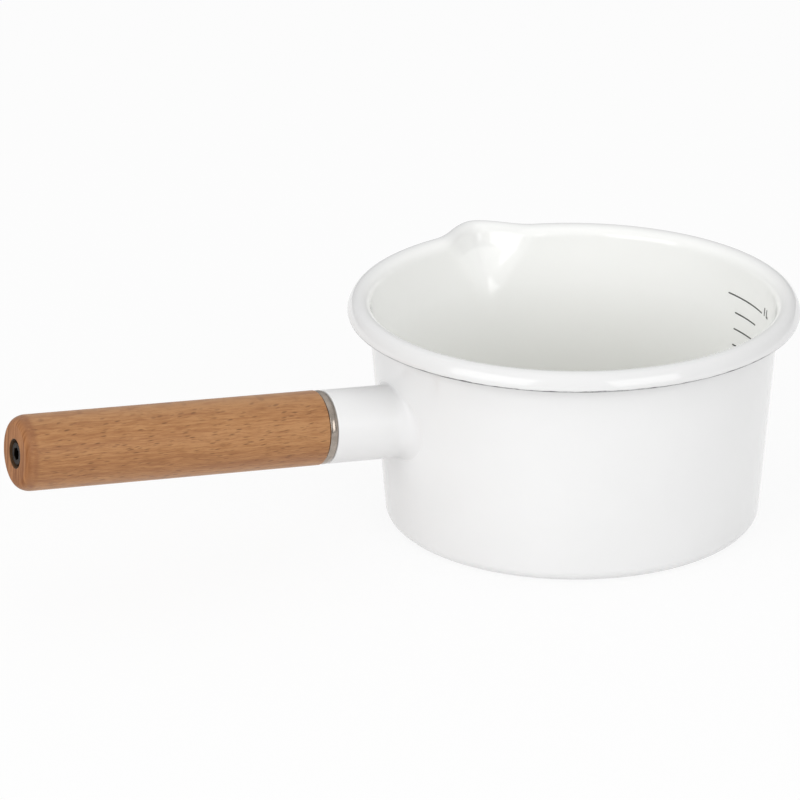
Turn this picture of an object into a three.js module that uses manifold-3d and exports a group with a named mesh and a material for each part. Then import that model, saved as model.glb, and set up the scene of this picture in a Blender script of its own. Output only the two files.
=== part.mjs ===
// Enamelled steel saucepan with a rolled rim, a pressed pouring spout and a turned beech handle.
// Millimetres, +Z up. The origin is the centre of the resting face. The handle points along -X and
// the spout along +Y, so the pan pours to the left of a hand that holds it.
import * as THREE from "three";
import { mergeVertices } from "three/addons/utils/BufferGeometryUtils.js";
import Module from "manifold-3d";

const wasm = await Module();
wasm.setup();

// Clearances
const SEAT = 0.3; // between two faces that rest on each other
const FIT = 0.3; // all round, between a piece and the hole that it sits in

// Pot: one drawn sheet
const POT_HEIGHT = 83; // resting face to the crest of the rim
const FOOT_DIAMETER = 134.6; // outside of the side, carried down to the resting face
const SIDE_DRAFT = 4.5; // degrees by which the side leans out
const SHEET = 1; // steel and enamel together
const FOOT_RADIUS = 4.5; // outside corner between floor and side
const BEAD_DIAMETER = 8.4; // rolled rim, outside
const CURL_END = 20; // degrees below the horizontal at which the roll stops
const CURL_SKIRT = 1; // straight run from there to the raw edge, which leaves the roll open below

// Pouring spout
const SPOUT_REACH = 10; // how far the lip stands out from the rim
const SPOUT_WIDTH = 25; // between the flanks of the groove, at the crest of the rim
const SPOUT_DEPTH = 21; // crest of the rim to the tip of the groove
const SPOUT_VALLEY = 3.5; // how broadly the bottom of the groove is rounded
const SPOUT_BLEND = 4.5; // how broadly the shoulders of the groove run into the side

// Handle socket: an enamelled tube, welded to the side
const SOCKET_DROP = 36.3; // crest of the rim to the point where the handle's axis meets the side
const HANDLE_TILT = 4.9; // degrees by which the handle rises
const SOCKET_DIAMETER = 26.1;
const SOCKET_SHEET = 1.4;
const SOCKET_LENGTH = 27.3; // side of the pot to the mouth, along the axis
const ROOT_FILLET = 2.5; // hollow of the weld above and below the tube
const ROOT_FILLET_SIDE = 6.5; // hollow of the weld at the two sides of the tube
const ROOT_EDGE = 0.4; // thickness of the weld where it runs out on the side

// Plate and nut inside the socket
const PLATE_THICKNESS = 2.5;
const NUT_ACROSS_FLATS = 8;
const NUT_HEIGHT = 4;

// Ferrule ring
const FERRULE_DIAMETER = 25.7;
const FERRULE_WIDTH = 2.9;
const FERRULE_ROUND = 0.9; // rounding of its two outer edges

// Grip
const GRIP_DIAMETER = 26.4;
const GRIP_LENGTH = 112.6; // shoulder to end face
const GRIP_END_LENGTH = 6; // rounding of the free end, along the grip
const GRIP_END_DROP = 1.8; // rounding of the free end, across the grip
const GRIP_SHOULDER_ROUND = 0.8; // rounding of the edge at the ferrule
const SPIGOT_DIAMETER = 19;
const SPIGOT_REACH = 6; // how far the spigot goes into the socket
const SPIGOT_CLEARANCE = 0.8; // left between the spigot and the plate, so that the shoulder takes the pull
const SPIGOT_CHAMFER = 1;

// Bolt and washer
const BOLT_DIAMETER = 5;
const HEAD_DIAMETER = 8.5;
const HEAD_HEIGHT = 5;
const HEAD_RECESS = 0.8; // below the end face of the grip
const HEAD_CHAMFER = 0.5;
const HEX_ACROSS_FLATS = 4;
const HEX_DEPTH = 2.6;
const BOLT_OVERRUN = 2; // thread that stands out behind the nut
const BOLT_POINT = 0.8; // chamfer of the bolt's tip
const WASHER_DIAMETER = 10;
const WASHER_THICKNESS = 1;

// Fineness of the facets
const POT_FACETS = 80;
const POT_CROWDING = 0.5; // 0 spreads the pot's facets evenly, towards 1 they gather at the spout
const TUBE_FACETS = 40;
const BOLT_FACETS = 24;
const ARC_STEPS = 2; // each quarter of a small rounding gets twice as many
const FOOT_STEPS = 4;
const SPOUT_STEPS = 6;
const BEAD_STEPS = 12;

const radians = THREE.MathUtils.degToRad;
const draft = radians(SIDE_DRAFT);
const tilt = radians(HANDLE_TILT);

// Sheet and lathe helpers

// Turns a profile of (radius, height) points about +Z. The profile runs up its outer side.
function turned(points, facets) {
  return new THREE.LatheGeometry(points, facets).rotateX(Math.PI / 2);
}

// A closed profile for a ring: the points of a path that returns to its start.
function ringPoints(path) {
  path.closePath();
  return path.getPoints(ARC_STEPS);
}

function arc(centreX, centreY, radius, start, end, clockwise) {
  return new THREE.EllipseCurve(centreX, centreY, radius, radius, start, end, clockwise);
}

// Both faces of a sheet whose centre follows the given runs, each a curve with its number of steps:
// out along its right face and back along its left.
function sheetProfile(runs) {
  const right = [];
  const left = [];
  runs.forEach(([curve, steps], k) => {
    for (let i = k === 0 ? 0 : 1; i <= steps; i++) {
      const point = curve.getPoint(i / steps);
      const along = curve.getTangent(i / steps);
      const toLeft = new THREE.Vector2(-along.y, along.x).multiplyScalar(SHEET / 2);
      right.push(point.clone().sub(toLeft));
      left.unshift(point.clone().add(toLeft));
    }
  });
  return [...right, ...left];
}

// Moves every vertex of a geometry to where the given function puts it.
function reshaped(geometry, place) {
  const position = geometry.getAttribute("position");
  const vertex = new THREE.Vector3();
  for (let i = 0; i < position.count; i++) {
    vertex.fromBufferAttribute(position, i);
    place(vertex);
    position.setXYZ(i, vertex.x, vertex.y, vertex.z);
  }
  geometry.computeVertexNormals();
  return geometry;
}

function solidOf(geometry) {
  const bare = geometry.clone().deleteAttribute("normal").deleteAttribute("uv");
  const merged = mergeVertices(bare);
  return new wasm.Manifold(
    new wasm.Mesh({
      numProp: 3,
      vertProperties: merged.getAttribute("position").array,
      triVerts: new Uint32Array(merged.index.array),
    }),
  );
}

function geometryOf(solid) {
  const mesh = solid.getMesh();
  const geometry = new THREE.BufferGeometry();
  geometry.setAttribute("position", new THREE.BufferAttribute(mesh.vertProperties, mesh.numProp));
  geometry.setIndex(new THREE.BufferAttribute(mesh.triVerts, 1));
  geometry.computeVertexNormals();
  return geometry;
}

function named(name, geometry, material) {
  const mesh = new THREE.Mesh(geometry, material);
  mesh.name = name;
  return mesh;
}

// Finishes
const finish = (color, roughness, metalness) =>
  new THREE.MeshStandardMaterial({ color, roughness, metalness });
const potEnamel = finish(0xf3f3f1, 0.12, 0);
const socketEnamel = finish(0xe9e7e6, 0.15, 0);
const beech = finish(0xb2825c, 0.6, 0);
const ferruleSteel = finish(0x968c84, 0.3, 1);
const plateSteel = finish(0x7d7b78, 0.5, 1);
const nutSteel = finish(0x8c8a86, 0.45, 1);
const washerSteel = finish(0xa3a29f, 0.4, 1);
const blackOxide = finish(0x1c1b1d, 0.45, 0.8);

// Side of the pot
const outsideRadius = (height) => FOOT_DIAMETER / 2 + height * Math.tan(draft);
const centreRadius = (height) => outsideRadius(height) - SHEET / 2 / Math.cos(draft);
const spoutTip = POT_HEIGHT - SPOUT_DEPTH;
const spoutStart = spoutTip - SPOUT_BLEND; // the side below this height is left round

// The centre of the sheet: floor, foot, side, rolled rim, and the short skirt that ends in the raw edge.
function potRuns() {
  const foot = FOOT_RADIUS - SHEET / 2;
  const footHeight = SHEET / 2 + foot;
  const footCentre = centreRadius(footHeight) - foot / Math.cos(draft);
  const footArc = arc(footCentre, footHeight, foot, -Math.PI / 2, -draft, false);

  const bead = (BEAD_DIAMETER - SHEET) / 2;
  const beadHeight = POT_HEIGHT - BEAD_DIAMETER / 2;
  const beadCentre = centreRadius(beadHeight) + bead / Math.cos(draft);
  const beadArc = arc(beadCentre, beadHeight, bead, Math.PI - draft, -radians(CURL_END), true);
  const curlEnd = beadArc.getPoint(1);
  const rawEdge = beadArc.getTangent(1).multiplyScalar(CURL_SKIRT).add(curlEnd);

  const middle = new THREE.Vector2(0, SHEET / 2);
  const spoutFoot = new THREE.Vector2(centreRadius(spoutStart), spoutStart);
  return [
    [new THREE.LineCurve(middle, footArc.getPoint(0)), 1],
    [footArc, FOOT_STEPS],
    [new THREE.LineCurve(footArc.getPoint(1), spoutFoot), 1],
    [new THREE.LineCurve(spoutFoot, beadArc.getPoint(0)), SPOUT_STEPS],
    [beadArc, BEAD_STEPS],
    [new THREE.LineCurve(curlEnd, rawEdge), 1],
  ];
}

// A corner between 0 and a rising line, rounded over the given width on both sides.
function roundedRamp(value, width) {
  if (value <= -width) return 0;
  if (value >= width) return value;
  return (value + width) ** 2 / (4 * width);
}

// Height with the last stretch, inside the rolled rim, bent over so that the lip ends level.
function lipHeight(height) {
  const over = Math.max(0, height - (POT_HEIGHT - BEAD_DIAMETER));
  return height - over ** 2 / (2 * BEAD_DIAMETER);
}

// How far the sheet is pressed out at a distance across the spout and at a height: a rounded V that
// starts at nothing at its tip and reaches its full depth and width at the crest.
function spoutPush(across, height) {
  const rise = (lipHeight(height) - spoutTip) / (lipHeight(POT_HEIGHT) - spoutTip);
  const flank = (Math.hypot(across, SPOUT_VALLEY) - SPOUT_VALLEY) / (SPOUT_WIDTH / 2);
  return SPOUT_REACH * roundedRamp(rise - flank, SPOUT_BLEND / (SPOUT_WIDTH / 2));
}

function potGeometry() {
  const rimRadius = outsideRadius(POT_HEIGHT);
  const spoutAzimuth = Math.PI / 2;
  return reshaped(turned(sheetProfile(potRuns()), POT_FACETS), (vertex) => {
    const even = Math.atan2(vertex.y, vertex.x) - spoutAzimuth;
    const turn = even - POT_CROWDING * Math.sin(even);
    const fromSpout = Math.atan2(Math.sin(turn), Math.cos(turn));
    const radius = Math.hypot(vertex.x, vertex.y);
    const pushed = radius + spoutPush(fromSpout * rimRadius, vertex.z);
    vertex.x = pushed * Math.cos(spoutAzimuth + turn);
    vertex.y = pushed * Math.sin(spoutAzimuth + turn);
  });
}

// Handle frame: its local +Z is the handle's axis, and its origin is where that axis meets the side.
const socketHeight = POT_HEIGHT - SOCKET_DROP;
const handle = new THREE.Group();
handle.position.set(-outsideRadius(socketHeight), 0, socketHeight);
handle.rotation.y = tilt - Math.PI / 2;
handle.updateMatrix();

// Stations along the axis, from the pot outwards
const socketMouth = SOCKET_LENGTH;
const ferruleStart = socketMouth + SEAT;
const ferruleEnd = ferruleStart + FERRULE_WIDTH;
const shoulder = ferruleEnd + SEAT;
const gripEnd = shoulder + GRIP_LENGTH;
const spigotEnd = socketMouth - SPIGOT_REACH;
const plateFace = spigotEnd - SPIGOT_CLEARANCE;
const plateBack = plateFace - PLATE_THICKNESS;
const nutFace = plateBack - SEAT;
const nutBack = nutFace - NUT_HEIGHT;
const boltTip = nutBack - BOLT_OVERRUN;
const headTop = gripEnd - HEAD_RECESS;
const headSeat = headTop - HEAD_HEIGHT;
const washerTop = headSeat - SEAT;
const washerBottom = washerTop - WASHER_THICKNESS;
const counterboreFloor = washerBottom - SEAT;

const boltBore = BOLT_DIAMETER / 2 + FIT;
const socketBore = SOCKET_DIAMETER / 2 - SOCKET_SHEET;

// Where a line parallel to the handle's axis, set off from it by x and y, meets the outside of the
// side: the nearer root of a quadratic for a line and a cone.
function sideAlongHandle(x, y) {
  const start = new THREE.Vector3(x, y, 0).applyMatrix4(handle.matrix);
  const along = new THREE.Vector3(0, 0, 1).transformDirection(handle.matrix);
  const slope = Math.tan(draft);
  const coneRadius = outsideRadius(start.z);
  const coneGrowth = slope * along.z;
  const a = along.x ** 2 + along.y ** 2 - coneGrowth ** 2;
  const b = start.x * along.x + start.y * along.y - coneRadius * coneGrowth;
  const c = start.x ** 2 + start.y ** 2 - coneRadius ** 2;
  return (-b + Math.sqrt(b ** 2 - a * c)) / a;
}

// A tube whose mouth is square and whose root lies on the side all round. The hollow of the weld is
// drawn at its narrowest and then widened, outwards and upwards alike, towards the two sides.
function socketGeometry() {
  const outer = SOCKET_DIAMETER / 2;
  const edgeHeight = SEAT + ROOT_EDGE;
  const hollowTop = edgeHeight + ROOT_FILLET;
  const edge = outer + ROOT_FILLET;
  const path = new THREE.Path();
  path.moveTo(socketBore, SEAT);
  path.lineTo(edge, SEAT);
  path.lineTo(edge, edgeHeight);
  path.absarc(edge, hollowTop, ROOT_FILLET, -Math.PI / 2, -Math.PI, true);
  path.lineTo(outer, socketMouth);
  path.lineTo(socketBore, socketMouth);
  return reshaped(turned(ringPoints(path), TUBE_FACETS), (vertex) => {
    if (vertex.z > hollowTop + SEAT) return;
    const radius = Math.hypot(vertex.x, vertex.y);
    const sideways = (vertex.y / radius) ** 2;
    const widening = THREE.MathUtils.lerp(1, ROOT_FILLET_SIDE / ROOT_FILLET, sideways);
    const beyond = Math.max(0, radius - outer);
    const widened = (radius + beyond * (widening - 1)) / radius;
    vertex.x *= widened;
    vertex.y *= widened;
    vertex.z += Math.max(0, vertex.z - edgeHeight) * (widening - 1);
    vertex.z += sideAlongHandle(vertex.x, vertex.y);
  });
}

// A flat disc or ring with a hole.
function discGeometry(outer, inner, bottom, top, facets) {
  const path = new THREE.Path();
  path.moveTo(inner, bottom);
  path.lineTo(outer, bottom);
  path.lineTo(outer, top);
  path.lineTo(inner, top);
  return turned(ringPoints(path), facets);
}

function nutGeometry() {
  const cornerRadius = NUT_ACROSS_FLATS / 2 / Math.cos(Math.PI / 6);
  const outline = new THREE.Shape();
  for (let corner = 0; corner < 6; corner++) {
    const angle = (corner * Math.PI) / 3;
    const x = cornerRadius * Math.cos(angle);
    const y = cornerRadius * Math.sin(angle);
    if (corner === 0) outline.moveTo(x, y);
    else outline.lineTo(x, y);
  }
  outline.closePath();
  const hole = new THREE.Path();
  hole.absarc(0, 0, boltBore, 0, 2 * Math.PI, true);
  outline.holes.push(hole);
  const options = { depth: NUT_HEIGHT, bevelEnabled: false, curveSegments: BOLT_FACETS / 2 };
  return new THREE.ExtrudeGeometry(outline, options).translate(0, 0, nutBack);
}

function ferruleGeometry() {
  const outer = FERRULE_DIAMETER / 2;
  const inner = SPIGOT_DIAMETER / 2 + FIT;
  const path = new THREE.Path();
  path.moveTo(inner, ferruleStart);
  path.absarc(outer - FERRULE_ROUND, ferruleStart + FERRULE_ROUND, FERRULE_ROUND, -Math.PI / 2, 0, false);
  path.absarc(outer - FERRULE_ROUND, ferruleEnd - FERRULE_ROUND, FERRULE_ROUND, 0, Math.PI / 2, false);
  path.lineTo(inner, ferruleEnd);
  return turned(ringPoints(path), TUBE_FACETS);
}

// The turned wood: spigot, shoulder, plain cylinder, round end, counterbore and bolt bore.
function gripGeometry() {
  const outer = GRIP_DIAMETER / 2;
  const spigot = SPIGOT_DIAMETER / 2;
  const counterbore = WASHER_DIAMETER / 2 + FIT;
  const round = GRIP_SHOULDER_ROUND;
  const path = new THREE.Path();
  path.moveTo(boltBore, spigotEnd);
  path.lineTo(spigot - SPIGOT_CHAMFER, spigotEnd);
  path.lineTo(spigot, spigotEnd + SPIGOT_CHAMFER);
  path.lineTo(spigot, shoulder);
  path.absarc(outer - round, shoulder + round, round, -Math.PI / 2, 0, false);
  const endX = outer - GRIP_END_DROP;
  const endZ = gripEnd - GRIP_END_LENGTH;
  path.absellipse(endX, endZ, GRIP_END_DROP, GRIP_END_LENGTH, 0, Math.PI / 2, false);
  path.lineTo(counterbore, gripEnd);
  path.lineTo(counterbore, counterboreFloor);
  path.lineTo(boltBore, counterboreFloor);
  return turned(ringPoints(path), TUBE_FACETS);
}

// A socket-head cap screw with its hexagon cut into the head.
function boltGeometry() {
  const shank = BOLT_DIAMETER / 2;
  const head = HEAD_DIAMETER / 2;
  const profile = [
    [0, boltTip],
    [shank - BOLT_POINT, boltTip],
    [shank, boltTip + BOLT_POINT],
    [shank, headSeat],
    [head, headSeat],
    [head, headTop - HEAD_CHAMFER],
    [head - HEAD_CHAMFER, headTop],
    [0, headTop],
  ].map(([radius, height]) => new THREE.Vector2(radius, height));
  const cornerRadius = HEX_ACROSS_FLATS / 2 / Math.cos(Math.PI / 6);
  const cutter = new THREE.CylinderGeometry(cornerRadius, cornerRadius, 2 * HEX_DEPTH, 6);
  cutter.rotateX(Math.PI / 2).rotateZ(Math.PI / 2).translate(0, 0, headTop);
  return geometryOf(solidOf(turned(profile, BOLT_FACETS)).subtract(solidOf(cutter)));
}

// Assembly
const pan = new THREE.Group();
pan.add(named("pot_body", potGeometry(), potEnamel));
pan.add(handle);

const plateRadius = socketBore - FIT;
const plate = discGeometry(plateRadius, boltBore, plateBack, plateFace, TUBE_FACETS);
const washer = discGeometry(WASHER_DIAMETER / 2, boltBore, washerBottom, washerTop, BOLT_FACETS);
handle.add(named("handle_socket", socketGeometry(), socketEnamel));
handle.add(named("socket_plate", plate, plateSteel));
handle.add(named("weld_nut", nutGeometry(), nutSteel));
handle.add(named("ferrule_ring", ferruleGeometry(), ferruleSteel));
handle.add(named("grip", gripGeometry(), beech));
handle.add(named("flat_washer", washer, washerSteel));
handle.add(named("handle_bolt", boltGeometry(), blackOxide));

export default pan;
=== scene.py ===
# %% [markdown]
# # An enamel saucepan with a pouring spout
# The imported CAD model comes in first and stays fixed: it says where every solid is, in metres, with
# the pot standing on z = 0, the handle along -X and the spout near +Y. Each later step lays a finer
# surface over one of its solids, or gives a solid that is already right a better finish.

# %% Load the frame
import math

import bpy
import numpy as np
from mathutils import Matrix


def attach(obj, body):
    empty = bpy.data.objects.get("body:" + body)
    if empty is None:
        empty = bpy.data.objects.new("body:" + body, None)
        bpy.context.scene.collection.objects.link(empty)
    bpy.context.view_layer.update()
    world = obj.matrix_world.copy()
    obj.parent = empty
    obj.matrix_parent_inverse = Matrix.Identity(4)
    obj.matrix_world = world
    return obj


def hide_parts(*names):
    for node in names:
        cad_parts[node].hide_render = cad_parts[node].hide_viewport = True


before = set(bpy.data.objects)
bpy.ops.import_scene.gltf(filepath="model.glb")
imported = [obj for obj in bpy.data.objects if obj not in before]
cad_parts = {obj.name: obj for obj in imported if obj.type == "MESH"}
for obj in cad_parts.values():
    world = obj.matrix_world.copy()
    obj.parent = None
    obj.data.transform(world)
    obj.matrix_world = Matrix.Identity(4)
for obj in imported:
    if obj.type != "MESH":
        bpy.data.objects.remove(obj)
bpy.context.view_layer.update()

# %% [markdown]
# ## Camera
# The photograph was taken from well back with a long lens, a little above the rim and from the
# handle's side. A camera can be aimed with a constraint, but here its three axes are written out:
# a turn round the pot, a rise, and a very small roll, then a step aside and up to frame the handle.

# %% Camera
VIEW_AZIMUTH = math.radians(-25)
VIEW_ELEVATION = 0.37256
VIEW_ROLL = -0.00351
VIEW_DISTANCE = 1.8146
VIEW_ASIDE = -0.06226
VIEW_ABOVE = 0.03969
LENS_MM = 225
SENSOR_MM = 36


def view_axes(azimuth, elevation, roll):
    """Right, up and back of a camera: back points from the pot to the lens, right is level, and the
    roll turns right and up about back."""
    level = np.array([math.cos(azimuth), math.sin(azimuth), 0.0])
    flat = math.cos(elevation)
    back = np.array([math.sin(azimuth) * flat, -math.cos(azimuth) * flat, math.sin(elevation)])
    upright = np.cross(back, level)
    right = math.cos(roll) * level + math.sin(roll) * upright
    up = math.cos(roll) * upright - math.sin(roll) * level
    return right, up, back


right, up, back = view_axes(VIEW_AZIMUTH, VIEW_ELEVATION, VIEW_ROLL)
lens_place = VIEW_ASIDE * right + VIEW_ABOVE * up + VIEW_DISTANCE * back
camera_data = bpy.data.cameras.new("photo_camera")
camera_data.lens = LENS_MM
camera_data.sensor_width = SENSOR_MM
camera = bpy.data.objects.new("photo_camera", camera_data)
camera.matrix_world = Matrix(np.column_stack([right, up, back, lens_place]).tolist() + [[0, 0, 0, 1]])
bpy.context.scene.collection.objects.link(camera)
bpy.context.scene.camera = camera
print("camera at", np.round(lens_place, 3))

# %% [markdown]
# ## From a grid of points to a mesh
# Every round piece here is a grid: rows follow its profile and columns go once round it. Blender has
# a Screw modifier and a Spin tool for this, but a grid worked out as one array also lets the rim be
# pressed out into a spout, and the root of the socket follow the side of the pot.

# %% Mesh from a grid
SHARP = math.radians(32)


def surface(name, grid, ring):
    """A mesh on grid[row, column]. Face (i, j) joins (i, j), (i, j+1), (i+1, j+1) and (i+1, j), so it
    faces outwards where columns run anticlockwise and rows run up the outside. Columns close. In a
    ring the rows close too; otherwise a fan to the mean of the first and last row closes each end."""
    rows, columns, _ = grid.shape
    number = np.arange(rows * columns).reshape(rows, columns)
    here = number if ring else number[:-1]
    ahead = np.roll(number, -1, axis=0) if ring else number[1:]
    quads = np.stack([here, np.roll(here, -1, 1), np.roll(ahead, -1, 1), ahead], -1).reshape(-1, 4)
    points = grid.reshape(-1, 3)
    faces = quads.tolist()
    if not ring:
        first = np.full(columns, len(points))
        points = np.vstack([points, grid[0].mean(0), grid[-1].mean(0)])
        faces += np.stack([first, np.roll(number[0], -1), number[0]], -1).tolist()
        faces += np.stack([first + 1, number[-1], np.roll(number[-1], -1)], -1).tolist()
    mesh = bpy.data.meshes.new(name)
    mesh.from_pydata(points.tolist(), [], faces)
    return placed(name, mesh)


def placed(name, mesh):
    """A smooth-shaded object at the origin that rides on the pan, with its tight edges kept sharp."""
    mesh.shade_smooth()
    mesh.set_sharp_from_angle(angle=SHARP)
    piece = bpy.data.objects.new(name, mesh)
    bpy.context.scene.collection.objects.link(piece)
    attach(piece, "root")
    print(name, len(mesh.vertices), "points")
    return piece


# %% [markdown]
# ## The sheet of the pot
# The real pot is one disc of steel, drawn into a cup, with its rim rolled outwards and the whole
# fired with white enamel. Its section is a line with two faces: floor, rounded foot, a side that
# leans out, and a rim that rolls over in four bends and tucks its raw edge under. A Solidify modifier
# could thicken it, but runs and bends that carry their direction of travel give both faces as an exact
# offset of the line, with room for a rounded raw edge.

# %% Profile runs
def straight(start, end, steps):
    """Equal steps from start to end, and the direction of travel at each."""
    start = np.asarray(start, float)
    along = np.asarray(end, float) - start
    points = start + np.linspace(0, 1, steps + 1)[:, None] * along
    return points, np.tile(along / np.linalg.norm(along), (steps + 1, 1))


def bend(centre, radius, start, end, steps):
    """Points on a circle from one angle to another, and the direction of travel at each."""
    angle = np.linspace(start, end, steps + 1)
    points = np.asarray(centre) + radius * np.stack([np.cos(angle), np.sin(angle)], -1)
    along = math.copysign(1, end - start) * np.stack([-np.sin(angle), np.cos(angle)], -1)
    return points, along


def joined(runs):
    """The runs one after the other, without the point that each shares with the one before."""
    points = [run[0][min(k, 1):] for k, run in enumerate(runs)]
    along = [run[1][min(k, 1):] for k, run in enumerate(runs)]
    return np.vstack(points), np.vstack(along)


# %% Sheet section
POT_HEIGHT = 0.083
FOOT_OUTSIDE = 0.0673
DRAFT = math.radians(4.5)
SHEET = 0.001
FOOT_BEND = 0.0045
BEAD = 0.0084
ROLL_RADII = (0.0044, 0.0031, 0.0083, 0.0019)
ROLL_ANGLES = (math.pi - DRAFT, math.radians(90), math.radians(37), math.radians(12.5), math.radians(-50))
FLOOR_MIDDLE = 0.004
SPOUT_DEPTH = 0.021
SPOUT_BLEND = 0.0045
FLOOR_STEPS = 8
FOOT_STEPS = 14
LOWER_SIDE_STEPS = 10
UPPER_SIDE_STEPS = 30
ROLL_STEPS = 16
spout_tip = POT_HEIGHT - SPOUT_DEPTH


def outside_radius(height):
    """Outside of the leaning side: the foot's radius plus the height times the slope."""
    return FOOT_OUTSIDE + height * math.tan(DRAFT)


def rolled_rim(half):
    """Bends of the rim, each starting where the one before it ends: a soft one up the inside, a tighter
    one over the crest, a flat one down the outside and a small one under. Radii are those of the face."""
    radii = [radius - SHEET / 2 for radius in ROLL_RADII]
    height = POT_HEIGHT - ROLL_RADII[0]
    centre = np.array([outside_radius(height) - half + radii[0] / math.cos(DRAFT), height])
    runs = []
    for k, radius in enumerate(radii):
        if k:
            facing = np.array([math.cos(ROLL_ANGLES[k]), math.sin(ROLL_ANGLES[k])])
            centre = centre + (radii[k - 1] - radius) * facing
        runs.append(bend(centre, radius, ROLL_ANGLES[k], ROLL_ANGLES[k + 1], ROLL_STEPS))
    return runs


def sheet_section():
    """The middle line of the sheet and its direction, up to where the raw edge begins to round off."""
    half = SHEET / 2 / math.cos(DRAFT)
    foot = FOOT_BEND - SHEET / 2
    foot_height = FOOT_BEND
    foot_centre = (outside_radius(foot_height) - half - foot / math.cos(DRAFT), foot_height)
    foot_bend = bend(foot_centre, foot, -math.pi / 2, -DRAFT, FOOT_STEPS)
    rim = rolled_rim(half)
    spout_foot = spout_tip - SPOUT_BLEND
    side_middle = (outside_radius(spout_foot) - half, spout_foot)
    return joined([
        straight((FLOOR_MIDDLE, SHEET / 2), foot_bend[0][0], FLOOR_STEPS),
        foot_bend,
        straight(foot_bend[0][-1], side_middle, LOWER_SIDE_STEPS),
        straight(side_middle, rim[0][0][0], UPPER_SIDE_STEPS),
        *rim,
    ])


def both_faces(points, along, round_steps=8):
    """Out along the right face, round the raw edge in a half circle, and back along the left face."""
    left = np.stack([-along[:, 1], along[:, 0]], -1) * SHEET / 2
    turn = np.linspace(0, math.pi, round_steps + 1)[1:-1, None]
    edge = points[-1] - np.cos(turn) * left[-1] + np.sin(turn) * along[-1] * SHEET / 2
    return np.vstack([points - left, edge, (points + left)[::-1]])


pot_section = both_faces(*sheet_section())
print("pot section:", len(pot_section), "points, crest at", round(pot_section[:, 1].max(), 5))

# %% [markdown]
# ## The pressed spout
# The spout is pressed into the finished rim: a rounded V that starts at nothing below the rim and is
# deepest and widest at the crest, so the rolled bead follows it out and back without a break. This is
# the part of the pan that asks for most skill. It could be sculpted or made with a lattice. A formula
# that pushes every point of the sheet straight out keeps both faces and the bead together.

# %% Spout formula
SPOUT_REACH = 0.0103
SPOUT_WIDTH = 0.0235
SPOUT_VALLEY = 0.0035
SPOUT_AZIMUTH = math.radians(88.8)


def rounded_ramp(value, width):
    """Zero, then the value itself, with the corner between them rounded by a parabola."""
    corner = (value + width) ** 2 / (4 * width)
    return np.where(value <= -width, 0, np.where(value >= width, value, corner))


def lip_height(height):
    """Height, bent over within the bead by the square of the way up it, so that the lip ends level."""
    over = np.maximum(0, height - (POT_HEIGHT - BEAD))
    return height - over ** 2 / (2 * BEAD)


def spout_push(from_spout, height):
    """Reach times a rounded V: the rise from the tip to the crest, less the distance across."""
    across = from_spout * outside_radius(POT_HEIGHT)
    rise = (lip_height(height) - spout_tip) / (lip_height(POT_HEIGHT) - spout_tip)
    flank = (np.hypot(across, SPOUT_VALLEY) - SPOUT_VALLEY) / (SPOUT_WIDTH / 2)
    return SPOUT_REACH * rounded_ramp(rise - flank, SPOUT_BLEND / (SPOUT_WIDTH / 2))


def round_the_pot(section, from_spout):
    """Section points (radius, height) carried round the pot's axis and pushed out at the spout. Each
    of the section's numbers may be one value or one value per column."""
    radius = section[0] + spout_push(from_spout, section[1])
    azimuth = SPOUT_AZIMUTH + from_spout
    height = section[1] + np.zeros_like(radius)
    return np.stack([radius * np.cos(azimuth), radius * np.sin(azimuth), height], -1)


print("the spout pushes the crest out by", round(float(spout_push(0.0, POT_HEIGHT)), 4), "m")

# %% The pot
POT_COLUMNS = 368
POT_CROWDING = 0.5
LINING_AT_CREST = 0.25
LINING_BLEND = BEAD / 2
even = np.linspace(-math.pi, math.pi, POT_COLUMNS, endpoint=False)[None]
pot_turn = even - POT_CROWDING * np.sin(even)
pot = surface("enamel_pot", round_the_pot(pot_section.T[:, :, None], pot_turn), ring=False)
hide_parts("pot_body")


def lining_share(section):
    """Nothing on the outer face. On the inner face it rises from nothing, just outside the crest, to
    one within the rim's inner bend."""
    crest = section[:, 1].argmax()
    inwards = LINING_AT_CREST + (section[crest, 0] - section[:, 0]) / LINING_BLEND
    outside = np.arange(len(section)) < len(section) // 2
    return np.where(outside, 0, np.clip(inwards, 0, 1))


# The lining share says where the enamel is painted lighter as painted light.
lining = np.append(np.repeat(lining_share(pot_section), POT_COLUMNS), [0, 1])
pot.data.attributes.new("lining", "FLOAT", "POINT").data.foreach_set("value", lining)

# %% [markdown]
# ## The raw edge of the roll
# Enamel draws back from a sharp edge in the kiln, so a thin, uneven dark line of ground coat shows
# all round under the rim. It could be painted on the pot, but a line this fine wants its own edge: a
# very thin skin over the last half millimetre of the rim, whose width wavers as it goes round.

# %% Ground-coat line
LINE_WIDTH = 0.0006
LINE_PROUD = 0.00003
LINE_SUNK = 0.00006
LINE_COLUMNS = 900
LINE_ROWS = 6
LINE_WAVES = ((0.2, 9, 1.0), (0.15, 31, 2.2), (0.12, 83, 0.0))
EDGE_TURN = math.radians(135)
EDGE_ROWS = 6


def wavering(angle):
    """A share between about 0.5 and 1.5: one plus three waves of unlike lengths round the rim."""
    share = 1
    for strength, count, start in LINE_WAVES:
        share = share + strength * np.sin(count * angle + start)
    return share


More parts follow.
